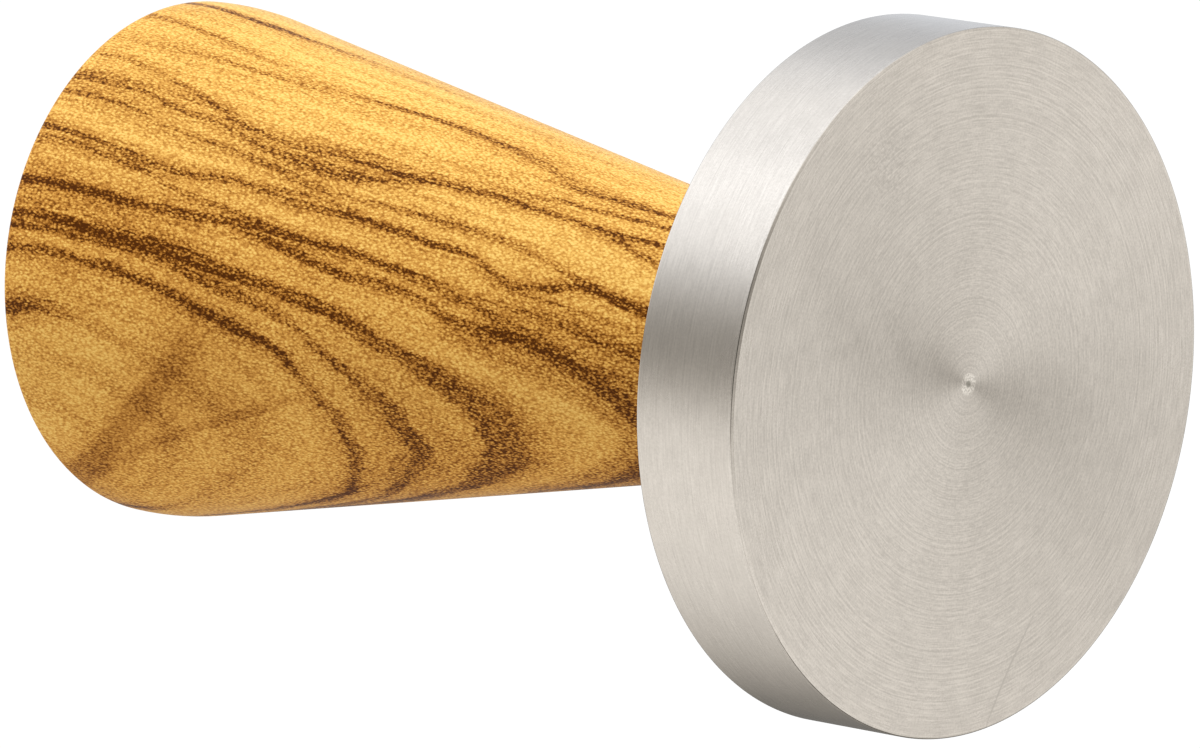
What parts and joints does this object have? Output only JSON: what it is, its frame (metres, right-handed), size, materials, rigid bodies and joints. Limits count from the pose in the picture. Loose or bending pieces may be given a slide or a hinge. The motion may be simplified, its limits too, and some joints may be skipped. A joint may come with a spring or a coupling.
{
  "type": "espresso tamper",
  "caption": "Flat round metal tamping disc with a tapered wooden handle that unscrews from it.",
  "frame": {"origin": "centre of the tamping face, on the surface that the tamper stands on", "axes": "+Z along the turning axis, from the tamping face up to the palm end of the handle; the tamper is round, so +X is only where the threads start"},
  "size_m": [0.058, 0.058, 0.0893],
  "materials": {
    "turned_steel": "turned stainless steel, fine concentric marks",
    "stud_steel": "blackened alloy steel, thread rolled",
    "olive_wood": "turned olive wood, oiled to a satin sheen",
    "insert_brass": "machined brass",
    "washer_rubber": "matt black rubber"
  },
  "bodies": {
    "base": {"tamping_base": "turned_steel", "threaded_stud": "stud_steel"},
    "washer": {"seat_washer": "washer_rubber"},
    "grip": {"handle": "olive_wood", "thread_insert": "insert_brass"}
  },
  "joints": [
    {"name": "handle_rise", "type": "slide", "parent": "base", "child": "washer", "axis": [0, 0, 1], "range_m": [0, 0.01125]},
    {"name": "handle_unscrew", "type": "hinge", "parent": "washer", "child": "grip", "pos_m": [0, 0, 0.0112], "axis": [0, 0, 1], "range_deg": [0, 3240]}
  ],
  "couplings": [
    {"joint": "handle_rise", "follows": "handle_unscrew", "m_per_rad": 0.00019894}
  ]
}
